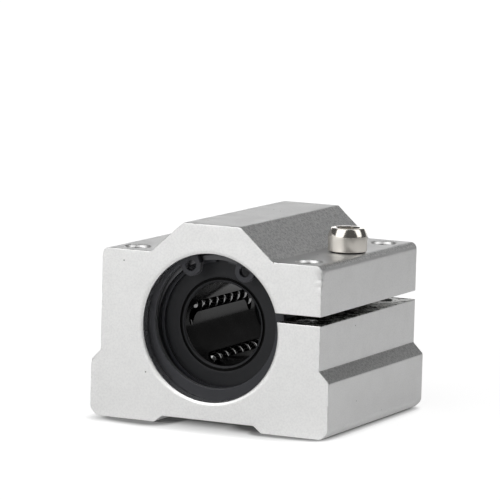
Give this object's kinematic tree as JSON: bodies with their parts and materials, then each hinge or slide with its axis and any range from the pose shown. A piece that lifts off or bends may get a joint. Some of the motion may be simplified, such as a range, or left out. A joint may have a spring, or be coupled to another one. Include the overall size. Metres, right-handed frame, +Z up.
{
  "type": "linear bearing block",
  "caption": "Slit clamp housing with a closed recirculating ball bushing for a round shaft, tapped mounting holes in its shoulders and a clamp screw that sets the bearing's play.",
  "frame": {"origin": "middle of the foot face, at the bottom", "axes": "+X across the block towards the slit and clamp screw, +Y along the shaft away from the front face, +Z up"},
  "size_m": [0.05, 0.044, 0.0385],
  "materials": {
    "housing_aluminium": "matte blasted",
    "nickel_screw": "bright nickel plated",
    "black_spring_steel": "black phosphated, satin",
    "bearing_steel": "ground",
    "black_resin": "satin moulded",
    "black_rubber": "satin",
    "polished_balls": "polished"
  },
  "bodies": {
    "block": {"housing_block": "housing_aluminium", "front_snap_ring": "black_spring_steel", "rear_snap_ring": "black_spring_steel", "bearing_sleeve": "bearing_steel", "ball_retainer": "black_resin", "front_seal": "black_rubber", "rear_seal": "black_rubber", "front_side_ring": "black_spring_steel", "rear_side_ring": "black_spring_steel", "load_balls_1": "polished_balls", "load_balls_2": "polished_balls", "load_balls_3": "polished_balls", "load_balls_4": "polished_balls", "load_balls_5": "polished_balls", "return_balls_1": "polished_balls", "return_balls_2": "polished_balls", "return_balls_3": "polished_balls", "return_balls_4": "polished_balls", "return_balls_5": "polished_balls"},
    "screw": {"clamp_screw": "nickel_screw"}
  },
  "joints": [
    {"name": "clamp_screw_turn", "type": "hinge", "parent": "block", "child": "screw", "pos_m": [0.018, 0, 0.0325], "axis": [0, 0, 1], "range_deg": [-90, 360]}
  ]
}
